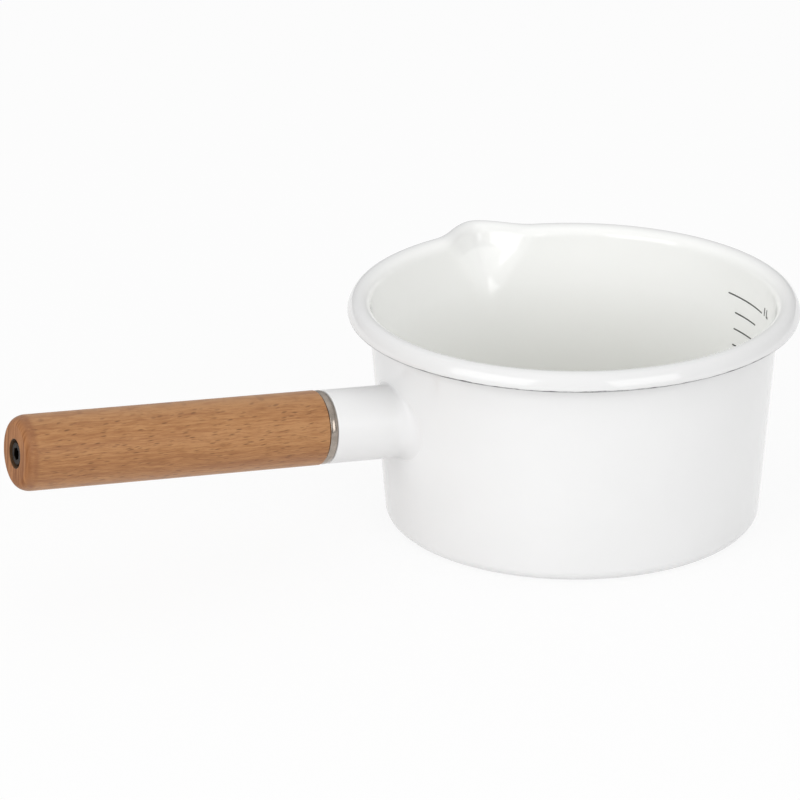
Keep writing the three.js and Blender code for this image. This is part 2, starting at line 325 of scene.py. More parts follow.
def ground_coat_grid():
    """A loop in the section, carried round the pot: from under the rounded edge up the rim's last bend
    by the wavering width, a little proud of the enamel, and back again just beneath it."""
    end = sheet_section()[0][-1][:, None]
    last, bend_radius = ROLL_ANGLES[-1], ROLL_RADII[-1]
    facing = np.array([[math.cos(last)], [math.sin(last)]])
    onward = np.array([[math.sin(last)], [-math.cos(last)]])
    around = np.linspace(-math.pi, math.pi, LINE_COLUMNS, endpoint=False)
    angle = last + np.linspace(1, 0, LINE_ROWS)[:, None] * LINE_WIDTH * wavering(around) / bend_radius
    rim_facing = np.stack([np.cos(angle), np.sin(angle)], 1)
    turn = np.linspace(0, EDGE_TURN, EDGE_ROWS + 1)[1:, None, None]
    edge_facing = np.cos(turn) * facing + np.sin(turn) * onward + 0 * around
    skins = []
    for offset in (LINE_PROUD, -LINE_SUNK):
        along_rim = end - (bend_radius - SHEET / 2) * facing + (bend_radius + offset) * rim_facing
        under_edge = end + (SHEET / 2 + offset) * edge_facing
        skins.append(np.concatenate([along_rim, under_edge]))
    loop = np.concatenate([skins[0][::-1], skins[1]])
    return round_the_pot(loop.transpose(1, 0, 2), around[None])


ground_line = surface("ground_coat_line", ground_coat_grid(), ring=True)

# %% [markdown]
# ## The measuring scale
# Four level marks are printed and fired on the inner wall, opposite the handle, with the litre figure
# at the end of the top one. A texture could carry them, but thin meshes stay sharp from close by. Each
# mark is a shallow pillow bent along the wall: an ellipse for a section, drawn out along an arc and
# closing to a rounded end. The figure is a Text object, made a mesh and bent onto the wall.

# %% Measuring marks
MARK_HEIGHTS = {"measure_mark_1.0": 0.0683, "measure_mark_0.9": 0.0620,
                "measure_mark_0.8": 0.0559, "measure_mark_0.7": 0.0498}
LONG_MARK = math.radians(19.9)
SHORT_MARK = math.radians(12.1)
MARK_TURN = math.radians(0.95)
MARK_HALF = 0.00031
MARK_TIP = 0.02
INK_THICKNESS = 0.00006


def inside_radius(height):
    """Inside of the leaning side."""
    return outside_radius(height) - SHEET / math.cos(DRAFT)


def mark_grid(height, width, rows=41, columns=12):
    """Rows along the mark, from one end to the other, and columns round a flat ellipse that stands on
    the inner wall. The ellipse shrinks as a half circle over the last half height, to a small tip."""
    from_middle = np.linspace(width / 2, -width / 2, rows)[:, None]
    azimuth = MARK_TURN + from_middle
    to_end = (width / 2 - np.abs(from_middle)) * inside_radius(height)
    fullness = np.sqrt(1 - (1 - np.clip(to_end / MARK_HALF, MARK_TIP, 1)) ** 2)
    round_it = np.linspace(0, 2 * math.pi, columns, endpoint=False)[None]
    level = height + MARK_HALF * fullness * np.cos(round_it)
    inward = INK_THICKNESS * fullness * np.sin(round_it)
    radius = inside_radius(level) - inward
    return np.stack([radius * np.cos(azimuth), radius * np.sin(azimuth), level], -1)


marks = []
for mark_name, mark_height in MARK_HEIGHTS.items():
    mark_width = LONG_MARK if not marks else SHORT_MARK
    marks.append(surface(mark_name, mark_grid(mark_height, mark_width), ring=False))

# %% Litre figure
FIGURE_SIZE = 0.0038
FIGURE_GAP = math.radians(1.2)
FIGURE_RAISED = 0.0012
FIGURE_BOLD = 0.00022


def figure_mesh(text):
    """Letters as a thin mesh in the plane, with x along the line of writing."""
    writing = bpy.data.curves.new("figure_writing", "FONT")
    writing.body = text
    writing.size = FIGURE_SIZE
    writing.extrude = INK_THICKNESS
    writing.offset = FIGURE_BOLD
    writing.align_y = "CENTER"
    holder = bpy.data.objects.new("figure_writing", writing)
    bpy.context.scene.collection.objects.link(holder)
    view = bpy.context.evaluated_depsgraph_get()
    mesh = bpy.data.meshes.new_from_object(holder.evaluated_get(view))
    bpy.data.objects.remove(holder)
    return mesh


def wrapped_on_wall(mesh, height, start):
    """x runs round the wall from the start angle, towards -Y, y goes up, and z stands off the wall."""
    flat = np.empty(len(mesh.vertices) * 3)
    mesh.vertices.foreach_get("co", flat)
    x, y, z = flat.reshape(-1, 3).T
    azimuth = start - x / inside_radius(height)
    radius = inside_radius(height + y) - z
    wrapped = np.stack([radius * np.cos(azimuth), radius * np.sin(azimuth), height + y], -1)
    mesh.vertices.foreach_set("co", wrapped.ravel())
    mesh.update()
    return mesh


figure_start = MARK_TURN - LONG_MARK / 2 - FIGURE_GAP
figure_height = MARK_HEIGHTS["measure_mark_1.0"] + FIGURE_RAISED
litre = placed("litre_figure", wrapped_on_wall(figure_mesh("1 L"), figure_height, figure_start))

# %% [markdown]
# ## The handle's own frame
# Socket, ring, wood and screw share one axis, which leaves the side of the pot and rises a little. A
# turned piece is drawn as radius against distance along that axis. The pieces could be modelled
# upright and rotated, but then each object would carry a turn, so the axis goes into the formula.

# %% Handle frame
HANDLE_HEIGHT = 0.0467
HANDLE_TILT = math.radians(4.9)
handle_root = np.array([-outside_radius(HANDLE_HEIGHT), 0, HANDLE_HEIGHT])
handle_up = np.array([math.sin(HANDLE_TILT), 0, math.cos(HANDLE_TILT)])
handle_side = np.array([0.0, 1, 0])
handle_along = np.array([-math.cos(HANDLE_TILT), 0, math.sin(HANDLE_TILT)])
TUBE_COLUMNS = 128


def round_angles(columns):
    """Equal angles once round, from the top of the handle."""
    return np.linspace(0, 2 * math.pi, columns, endpoint=False)[None]


def on_handle(x, y, along):
    """The point that is x above the handle's axis, y beside it, and so far along it."""
    above = handle_root + x[..., None] * handle_up
    return above + y[..., None] * handle_side + along[..., None] * handle_along


def turned(section, columns=TUBE_COLUMNS):
    """A section of (radius, distance) points carried round the handle's axis."""
    angle = round_angles(columns)
    radius = section[:, :1]
    along = section[:, 1:] + 0 * angle
    return on_handle(radius * np.cos(angle), radius * np.sin(angle), along)


def quarter(centre, radii, start, steps=8):
    """A quarter of an ellipse in the section, from the start angle on, anticlockwise."""
    angle = np.linspace(start, start + math.pi / 2, steps + 1)[:, None]
    return np.asarray(centre) + np.asarray(radii) * np.hstack([np.cos(angle), np.sin(angle)])


print("the handle leaves the side at", np.round(handle_root, 4))

# %% [markdown]
# ## The socket
# A short enamelled tube is welded to the side, and its root is spread: it flares out to the left and
# right, and hardly at all above and below. A boolean and a bevel would leave a hard line there, so the
# flare's outer edge is laid on the cone of the side, where a line along the handle meets it.

# %% Socket tube
SOCKET_RADIUS = 0.01305
SOCKET_BORE = 0.01165
SOCKET_MOUTH = 0.0273
FLARE_SIDE = 0.0052
FLARE_UPRIGHT = 0.0009
FLARE_LENGTH = 1.3
FLARE_STEPS = 18
ROOT_SUNK = 0.0003
MOUTH_ROUND = 0.0005


def side_along_handle(x, y):
    """How far along the handle a line beside its axis meets the outside of the side: the root of the
    quadratic for a line and a cone that lies on the handle's side of the pot."""
    start = on_handle(x, y, np.zeros_like(x))
    cone = outside_radius(start[..., 2])
    growth = math.tan(DRAFT) * handle_along[2]
    a = handle_along[0] ** 2 + handle_along[1] ** 2 - growth ** 2
    b = start[..., 0] * handle_along[0] + start[..., 1] * handle_along[1] - cone * growth
    c = start[..., 0] ** 2 + start[..., 1] ** 2 - cone ** 2
    return (-b + np.sqrt(b ** 2 - a * c)) / a


def flare_rows(angle):
    """Quarter ellipses from the side in to the tube: they reach out to an oval that is wider than it is
    high, start along the tube by a multiple of that reach, and stand on the side at every point."""
    turn = np.linspace(0, math.pi / 2, FLARE_STEPS + 1)[:, None]
    out = 1 - np.sin(turn)
    x = (SOCKET_RADIUS + FLARE_UPRIGHT * out) * np.cos(angle)
    y = (SOCKET_RADIUS + FLARE_SIDE * out) * np.sin(angle)
    reach = FLARE_UPRIGHT + (FLARE_SIDE - FLARE_UPRIGHT) * np.sin(angle) ** 2
    along = FLARE_LENGTH * reach * (1 - np.cos(turn))
    return on_handle(x, y, along + side_along_handle(x, y))


def socket_grid():
    """Bore and flare a little inside the sheet, then the flare, the rounded mouth and the bore again."""
    angle = round_angles(TUBE_COLUMNS)
    bore_x, bore_y = SOCKET_BORE * np.cos(angle), SOCKET_BORE * np.sin(angle)
    bore_foot = on_handle(bore_x, bore_y, side_along_handle(bore_x, bore_y) - ROOT_SUNK)
    flare = flare_rows(angle)
    lip = quarter((SOCKET_RADIUS - MOUTH_ROUND, SOCKET_MOUTH - MOUTH_ROUND), (MOUTH_ROUND, MOUTH_ROUND), 0)
    mouth = turned(np.vstack([lip, [SOCKET_BORE, SOCKET_MOUTH]]))
    return np.concatenate([bore_foot, flare[:1] - ROOT_SUNK * handle_along, flare, mouth])


socket = surface("socket_tube", socket_grid(), ring=True)
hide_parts("handle_socket")

# %% [markdown]
# ## The ferrule
# A turned steel ring with a low crown sits at the end of the tube. It all but touches the enamel, and a
# fine dark gap stays between it and the wood. A cylinder with a Bevel would round both edges evenly; two
# quarter ellipses make a crown that is longer than it is high.

# %% Ferrule ring
FERRULE_RADIUS = 0.0131
FERRULE_BORE = 0.0098
FERRULE_START = 0.02734
FERRULE_END = 0.0304
FERRULE_ROUND = (0.0008, 0.0015)


def ferrule_section():
    """Inner edge, two quarter ellipses that make the outside a low crown, and back to the inner edge."""
    inset = FERRULE_RADIUS - FERRULE_ROUND[0]
    return np.vstack([
        [FERRULE_BORE, FERRULE_START],
        quarter((inset, FERRULE_START + FERRULE_ROUND[1]), FERRULE_ROUND, -math.pi / 2),
        quarter((inset, FERRULE_END - FERRULE_ROUND[1]), FERRULE_ROUND, 0),
        [FERRULE_BORE, FERRULE_END],
    ])


ferrule = surface("steel_ferrule", turned(ferrule_section()), ring=True)
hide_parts("ferrule_ring")

# %% [markdown]
# ## The beech grip
# The grip is one turning: a spigot that enters the socket, a square shoulder, a plain cylinder, a
# softly rounded end with a flat face, and a counterbore for the screw. A Boolean could drill it. Here
# the section is a closed loop from the bolt's bore out, along and back, so the hole through the wood is
# part of the same clean surface.

# %% Grip turning
GRIP_RADIUS = 0.0132
GRIP_SHOULDER = 0.0306
GRIP_END = 0.1435
GRIP_END_ROUND = (0.0034, 0.0048)
SHOULDER_ROUND = 0.0003
SPIGOT_RADIUS = 0.0095
SPIGOT_END = 0.0213
SPIGOT_CHAMFER = 0.001
BOLT_BORE = 0.0028
COUNTERBORE = 0.0051
COUNTERBORE_FLOOR = 0.1360
BORE_CHAMFER = 0.0002


def grip_section():
    """Spigot, shoulder, cylinder, end round, end face, counterbore and bore, as one loop."""
    end_centre = (GRIP_RADIUS - GRIP_END_ROUND[0], GRIP_END - GRIP_END_ROUND[1])
    shoulder_centre = (GRIP_RADIUS - SHOULDER_ROUND, GRIP_SHOULDER + SHOULDER_ROUND)
    return np.vstack([
        [BOLT_BORE, SPIGOT_END],
        [SPIGOT_RADIUS - SPIGOT_CHAMFER, SPIGOT_END],
        [SPIGOT_RADIUS, SPIGOT_END + SPIGOT_CHAMFER],
        [SPIGOT_RADIUS, GRIP_SHOULDER],
        quarter(shoulder_centre, (SHOULDER_ROUND, SHOULDER_ROUND), -math.pi / 2),
        quarter(end_centre, GRIP_END_ROUND, 0, steps=20),
        [COUNTERBORE + BORE_CHAMFER, GRIP_END],
        [COUNTERBORE, GRIP_END - BORE_CHAMFER],
        [COUNTERBORE, COUNTERBORE_FLOOR],
        [BOLT_BORE, COUNTERBORE_FLOOR],
    ])


grip = surface("beech_grip", turned(grip_section()), ring=True)
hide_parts("grip")

# %% [markdown]
# ## The cap screw
# A long socket-head screw holds the handle on, and its black head shows in the end of the grip. The
# head is fluted for the fingers and has a hexagon for the key. Booleans could cut these, but in polar
# form a hexagon is only another radius that depends on the angle, so the whole screw stays one grid.

# %% Cap screw
SCREW_COLUMNS = 192
SHANK = 0.0025
SCREW_TIP = 0.0117
SCREW_POINT = 0.0008
HEAD = 0.00425
HEAD_SEAT = 0.1376
HEAD_TOP = 0.1429
HEAD_CHAMFER = 0.0005
FLUTES = 32
FLUTE_DEPTH = 0.0002
FLUTE_MARGIN = 0.0008
KEY_HALF = 0.002
KEY_DEPTH = 0.0026
KEY_CHAMFER = 0.0002
DRILL_RADIUS = 0.0004
DRILL_DEPTH = 0.0006


def hexagon(angle, half):
    """Radius of a hexagon with corners up and down: half its width over the cosine from the flat."""
    return half / np.cos(np.mod(angle, math.pi / 3) - math.pi / 6)


def screw_grid():
    """Rows of (radius, distance), where a radius may change with the angle: tip, shank, fluted head,
    hexagon and the cone that the drill left at its bottom."""
    angle = round_angles(SCREW_COLUMNS)
    fluted = HEAD - FLUTE_DEPTH * (0.5 + 0.5 * np.cos(FLUTES * angle))
    rows = [
        (SHANK - SCREW_POINT, SCREW_TIP),
        (SHANK, SCREW_TIP + SCREW_POINT),
        (SHANK, HEAD_SEAT),
        (HEAD, HEAD_SEAT),
        (HEAD, HEAD_SEAT + FLUTE_MARGIN / 2),
        (fluted, HEAD_SEAT + FLUTE_MARGIN),
        (fluted, HEAD_TOP - FLUTE_MARGIN - HEAD_CHAMFER),
        (HEAD, HEAD_TOP - HEAD_CHAMFER),
        (HEAD - HEAD_CHAMFER, HEAD_TOP),
        (hexagon(angle, KEY_HALF + KEY_CHAMFER), HEAD_TOP),
        (hexagon(angle, KEY_HALF), HEAD_TOP - KEY_CHAMFER),
        (hexagon(angle, KEY_HALF), HEAD_TOP - KEY_DEPTH),
        (DRILL_RADIUS, HEAD_TOP - KEY_DEPTH - DRILL_DEPTH),
    ]
    radius = np.vstack([row[0] + 0 * angle for row in rows])
    along = np.vstack([row[1] + 0 * angle for row in rows])
    return on_handle(radius * np.cos(angle), radius * np.sin(angle), along)


screw = surface("cap_screw", screw_grid(), ring=False)
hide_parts("handle_bolt")

# %% [markdown]
# ## Finishes from nodes
# Every finish is worked out from the piece's own coordinates in metres, so a scale of 1000 makes a
# pattern about a millimetre across. A small helper makes a node, sets or links its sockets and hands
# back one of its outputs. Most of a noise lies between 0.3 and 0.7, so finishes spread over that range.

# %% Node helpers
NOISE_LOW = 0.3
NOISE_HIGH = 0.7
MIX_COLOURS = (6, 7)
MIX_RESULT = 2


def new_finish(name):
    """A material with its node tree and its main shader."""
    finish = bpy.data.materials.new(name)
    finish.use_nodes = True
    return finish, finish.node_tree, finish.node_tree.nodes["Principled BSDF"]


def put(node, sockets):
    """Sets each named or numbered socket of a node, or links it where the value is an output."""
    for key, value in sockets.items():
        if isinstance(value, bpy.types.NodeSocket):
            node.id_data.links.new(value, node.inputs[key])
        else:
            node.inputs[key].default_value = value


def node(tree, kind, sockets, output=0, **settings):
    """A new node with its settings and sockets; the answer is one of its outputs."""
    made = tree.nodes.new("ShaderNode" + kind)
    for key, value in settings.items():
        setattr(made, key, value)
    put(made, sockets)
    return made.outputs[output]


def ramp(tree, factor, stops):
    """A colour ramp through (position, colour) stops."""
    made = tree.nodes.new("ShaderNodeValToRGB")
    elements = made.color_ramp.elements
    while len(elements) < len(stops):
        elements.new(0.5)
    for element, (position, colour) in zip(elements, stops):
        element.position = position
        element.color = (*colour, 1)
    put(made, {"Fac": factor})
    return made.outputs["Color"]


def between(tree, value, low, high, to_low=0.0, to_high=1.0):
    """A value carried from one range to another and held at its ends."""
    sockets = {"Value": value, "From Min": low, "From Max": high, "To Min": to_low, "To Max": to_high}
    return node(tree, "MapRange", sockets)


def times(tree, first, second):
    """The product of two values."""
    return node(tree, "Math", {0: first, 1: second}, operation="MULTIPLY")


def blend(tree, factor, first, second, kind="MIX"):
    """Two colours mixed by a factor. A Mix node has sockets of the same names for every kind of data, so
    those for colours go by number."""
    made = tree.nodes.new("ShaderNodeMix")
    made.data_type = "RGBA"
    made.blend_type = kind
    put(made, {"Factor": factor, MIX_COLOURS[0]: first, MIX_COLOURS[1]: second})
    return made.outputs[MIX_RESULT]


def dress(piece, finish):
    """Puts one finish on a piece in place of what it had."""
    piece.data.materials.clear()
    piece.data.materials.append(finish)


# %% [markdown]
# ## Vitreous enamel
# Enamel is glass over steel: almost white with a faint warm cast, very smooth, but never quite flat,
# so highlights waver. Three noises give a slow drift of colour, the gentle waves that painters call
# orange peel, and a pinhole here and there. A clear coat over steel could be built up, but this glass is
# opaque, so one shader with the index of glass and a low roughness is enough.

# %% Enamel
# The rim's outer face is painted a little grey as shade.
RIM_SHADE_GREY = (0.946, 0.946, 0.946, 1)
RIM_FOOT = POT_HEIGHT - BEAD
RIM_SHADE_FROM = 0.0728
RIM_SHADE_TO = 0.0755
# The lining is painted greyer towards the floor as shade.
LINING_SHADE_GREY = (0.825, 0.825, 0.805, 1)
LINING_SHADE_FROM = 0.062
LINING_SHADE_TO = 0.018
DRIFT_SCALE = 28
WAVE_SCALE = 170
WAVE_BUMP = {"Strength": 0.03, "Distance": 0.0004}
PINHOLE_SCALE = 55
PINHOLE_EDGE = (0.010, 0.016)
PINHOLE_CHOICE = (0.90, 0.91)
PINHOLE_GREY = (0.28, 0.27, 0.25, 1)
ENAMEL_ROUGH_SPREAD = 0.04


def rim_shade_mask(tree, place):
    """One where the rolled rim is painted grey as shade, fading in over its inner bend, and nothing below
    it.
    """
    parts = tree.nodes.new("ShaderNodeSeparateXYZ")
    put(parts, {"Vector": place})
    level = node(tree, "CombineXYZ", {"X": parts.outputs["X"], "Y": parts.outputs["Y"]})
    radius = node(tree, "VectorMath", {0: level}, output="Value", operation="LENGTH")
    outer = between(tree, radius, RIM_SHADE_FROM, RIM_SHADE_TO)
    raised = between(tree, parts.outputs["Z"], RIM_FOOT, RIM_FOOT + SHEET)
    return times(tree, outer, raised)


def enamel_finish(name, whites, rough, inner_painted_light_whites=None):
    """White enamel: colour drifts between two whites and is painted a little grey on the rim's outer face
    as shade, roughness follows the drift, and waves and pinholes lie on top. A lining has slightly warmer
    whites of its own, painted lighter than the outer face as painted light, and it is painted greyer
    towards the floor as shade."""
    finish, tree, shader = new_finish(name)
    place = node(tree, "TexCoord", {}, output="Object")
    drift = node(tree, "TexNoise", {"Vector": place, "Scale": DRIFT_SCALE, "Detail": 3, "Roughness": 0.55})
    waves = node(tree, "TexNoise", {"Vector": place, "Scale": WAVE_SCALE, "Detail": 2, "Roughness": 0.5})
    cells = tree.nodes.new("ShaderNodeTexVoronoi")
    put(cells, {"Vector": place, "Scale": PINHOLE_SCALE, "Randomness": 1})
    pinhole = between(tree, cells.outputs["Distance"], *PINHOLE_EDGE, 1, 0)
    chosen = node(tree, "SeparateColor", {"Color": cells.outputs["Color"]})
    rare = between(tree, chosen, *PINHOLE_CHOICE)
    spot = times(tree, pinhole, rare)
    white = ramp(tree, drift, [(NOISE_LOW, whites[0]), (NOISE_HIGH, whites[1])])
    # Painted light: the lining is painted lighter than the outer face.
    if inner_painted_light_whites:
        inner_painted_light_white = ramp(tree, drift, [(NOISE_LOW, inner_painted_light_whites[0]), (NOISE_HIGH, inner_painted_light_whites[1])])
        level = node(tree, "SeparateXYZ", {"Vector": place}, output="Z")
        # Painted shade: the lining greys from halfway down towards the floor.
        depth_shade = between(tree, level, LINING_SHADE_FROM, LINING_SHADE_TO, 0, 1)
        inner_painted_light_white = blend(tree, depth_shade, inner_painted_light_white, LINING_SHADE_GREY, kind="MULTIPLY")
        share = node(tree, "Attribute", {}, output="Fac", attribute_name="lining")
        white = blend(tree, share, white, inner_painted_light_white)
    # Painted shade: the rim's outer face is greyed.
    rim_shaded = blend(tree, rim_shade_mask(tree, place), white, RIM_SHADE_GREY, kind="MULTIPLY")
    put(shader, {
        "Base Color": blend(tree, spot, rim_shaded, PINHOLE_GREY),
        "Roughness": between(tree, drift, NOISE_LOW, NOISE_HIGH, rough, rough + ENAMEL_ROUGH_SPREAD),
        "IOR": 1.52,
        "Normal": node(tree, "Bump", {"Height": waves, **WAVE_BUMP}),
    })
    return finish


POT_WHITES = ((0.834, 0.834, 0.833), (0.852, 0.852, 0.851))
# The lining's whites are painted lighter than the outer enamel as painted light; their slight warm tint is
# the lining's own.
LINING_PAINTED_LIGHT_WHITES = ((0.975, 0.978, 0.962), (0.985, 0.988, 0.973))
# The socket's whites are painted a little darker than the pot's as shade.
SOCKET_SHADED_WHITES = ((0.812, 0.811, 0.810), (0.830, 0.829, 0.828))
POT_ROUGH = 0.045
SOCKET_ROUGH = 0.38
dress(pot, enamel_finish("pot_enamel", POT_WHITES, POT_ROUGH, LINING_PAINTED_LIGHT_WHITES))
dress(socket, enamel_finish("socket_enamel", SOCKET_SHADED_WHITES, SOCKET_ROUGH))
print("enamel on", pot.name, "and", socket.name)

# %% [markdown]
# ## Ground coat and ink
# The ground coat under the white is a dark blue-grey glass that is dull where it is thin. The scale is
# a grey ceramic ink, fired on, and slightly uneven in strength. A plain colour would look cut from
# paper, so one function gives both of them patches and a faint tooth.

# %% Ground coat and ink
GROUND_COAT_GREYS = ((0.035, 0.035, 0.04), (0.46, 0.46, 0.47))
GROUND_COAT_GRAIN = 320
INK_GREYS = ((0.05, 0.05, 0.048), (0.10, 0.10, 0.095))
INK_GRAIN = 600
PATCH_EDGES = (0.35, 0.65)
TOOTH_GRAIN = 4000
TOOTH_BUMP = {"Strength": 0.15, "Distance": 0.00005}
GREY_ROUGH_SPREAD = 0.2


def grey_finish(name, greys, grain, rough):
    """Patches of a dark and a light grey, of the given fineness, with a faint tooth."""
    finish, tree, shader = new_finish(name)
    place = node(tree, "TexCoord", {}, output="Object")
    patches = node(tree, "TexNoise", {"Vector": place, "Scale": grain, "Detail": 4, "Roughness": 0.6})
    tooth = node(tree, "TexNoise", {"Vector": place, "Scale": TOOTH_GRAIN, "Detail": 1})
    put(shader, {
        "Base Color": ramp(tree, patches, list(zip(PATCH_EDGES, greys))),
        "Roughness": between(tree, patches, NOISE_LOW, NOISE_HIGH, rough, rough + GREY_ROUGH_SPREAD),
        "Normal": node(tree, "Bump", {"Height": tooth, **TOOTH_BUMP}),
    })
    return finish


dress(ground_line, grey_finish("ground_coat", GROUND_COAT_GREYS, GROUND_COAT_GRAIN, rough=0.35))
scale_ink = grey_finish("scale_ink", INK_GREYS, INK_GRAIN, rough=0.3)
for printed in [*marks, litre]:
    dress(printed, scale_ink)
print("printed pieces:", len(marks) + 1)

# %% [markdown]
# ## Beech
# Wood is a solid pattern that the lathe has cut through, so one set of coordinates serves the whole
# grip, where a UV map would part at its end. A Mapping node turns the piece's own coordinates into the
# handle's frame, and each layer then stretches them its own way: long along the grip, narrow across it.

# %% Coordinates along the handle
def handle_place(tree, place, lean=0.0):
    """Coordinates turned into the handle's frame: up, aside and along, with a lean about the side."""
    turn = (0, HANDLE_TILT - math.pi / 2 + lean, 0)
    sockets = {"Vector": place, "Location": list(handle_root), "Rotation": turn}
    return node(tree, "Mapping", sockets, vector_type="TEXTURE")


def stretched(tree, place, size):
    """Coordinates counted in steps of the given size along the three axes of the handle."""
    return node(tree, "Mapping", {"Vector": place, "Scale": [1 / step for step in size]})


def stretched_noise(tree, place, size, detail):
    """A noise whose patches have about the given size along the three axes of the handle."""
    return node(tree, "TexNoise", {"Vector": stretched(tree, place, size), "Scale": 1, "Detail": detail})


def times_plus(tree, first, second, third):
    """The product of two values, plus a third."""
    return node(tree, "Math", {0: first, 1: second, 2: third}, operation="MULTIPLY_ADD")


# %% [markdown]
# ## Side grain
# Beech is pinkish brown. Its growth rings here stand upright along the grip, so they show as stripes
# on the end face and on the top, and the thick rays that cross them come out on the sides as the short
# dark dashes that give the wood away. On the top the rays lie flat and are only faint flakes. A picture
# of wood would show its repeats, so stretched noises and long Voronoi cells draw all this.

# %% Ray dashes
FLECK_SIZE = (0.00064, 0.030, 0.0040)
FLECK_BROWN = (0.130, 0.048, 0.015, 1)
DASH_EDGE = (0.16, 0.38)
DASH_CHOICE = (0.25, 0.9)
DASH_FAINTEST = 0.08


def ray_dashes(tree, place):
    """Short dark dashes: near the middle of each long cell, and stronger in some cells than in others."""
    cells = tree.nodes.new("ShaderNodeTexVoronoi")
    put(cells, {"Vector": stretched(tree, place, FLECK_SIZE), "Scale": 1, "Randomness": 1})
    strength = node(tree, "SeparateColor", {"Color": cells.outputs["Color"]})
    dash = between(tree, cells.outputs["Distance"], *DASH_EDGE, 1, 0)
    return times(tree, dash, between(tree, strength, *DASH_CHOICE, DASH_FAINTEST, 1))


# %% Ground of the side grain
STREAK_SIZE = (0.00042, 0.0017, 0.0065)
STREAK_SHARE = 0.78
BAND_SIZE = (0.0045, 0.020, 0.150)
BAND_TONES = (-0.42, 0.30)
RING_SHARE = 0.35
TONES = [(0.34, (0.320, 0.133, 0.045)), (0.5, (0.392, 0.178, 0.063)), (0.68, (0.462, 0.228, 0.088))]
SIDE_FACING = (0.1, 0.6)
DASH_ON_TOP = 0.3
DASH_DARKNESS = 0.78


def side_grain(tree, place, leaning, rings, sideways):
    """Ground colour of the long faces: broad bands, fine streaks, growth rings, and the dashes of the
    rays, which fade from the sides to the top."""
    bands = stretched_noise(tree, place, BAND_SIZE, detail=3)
    streaks = stretched_noise(tree, place, STREAK_SIZE, detail=2)
    broad = times_plus(tree, rings, RING_SHARE, between(tree, bands, 0, 1, *BAND_TONES))
    tone = times_plus(tree, streaks, STREAK_SHARE, broad)
    ground = ramp(tree, tone, TONES)
    on_side = between(tree, sideways, *SIDE_FACING, DASH_ON_TOP, 1)
    dashes = times(tree, ray_dashes(tree, leaning), on_side)
    return blend(tree, times(tree, dashes, DASH_DARKNESS), ground, FLECK_BROWN), bands, dashes


# %% [markdown]
# ## End grain and the whole grip
# The end face cuts the rings across: it drinks more oil, so it is browner and duller than the sides,
# and the turn between the two is brown as well. The bore is painted dark brown as shade. Two materials
# would meet in a hard line, so the surface's normal against the handle's direction blends the two grains.

# %% Beech grip
RING_SIZE = (0.020, 0.0013, 0.120)
END_RINGS = [(0.38, (0.240, 0.085, 0.023)), (0.60, (0.400, 0.172, 0.062))]
END_FACING = (0.45, 0.9)
END_ROUGHER = 0.42
WOOD_ROUGH = (0.44, 0.56)
EDGE_BROWN = (0.250, 0.095, 0.034, 1)
TURNING_FACING = (0.02, 0.25)
TURNING_RINGS = (0.3, 0.6)
TURNING_DARKNESS = (0.3, 0.8)
# Dark brown painted inside the bore as shade.
BORE_SHADE_BROWN = (0.095, 0.050, 0.022, 1)
PORE_SIZE = (0.00022, 0.00022, 0.0024)
PORE_EDGE = (0.56, 0.70)
PORE_DARKNESS = 0.3
FLECK_LEAN = math.radians(-4)
WAVER = 0.0014
WAVER_SCALE = 90
DASH_RELIEF = 0.6
WOOD_BUMP = {"Strength": 0.25, "Distance": 0.00012}


def facing_share(tree, normal, direction):
    """How far the surface faces a direction: the cosine of the angle between them."""
    sockets = {0: normal, 1: tuple(direction)}
    return node(tree, "VectorMath", sockets, output="Value", operation="DOT_PRODUCT")


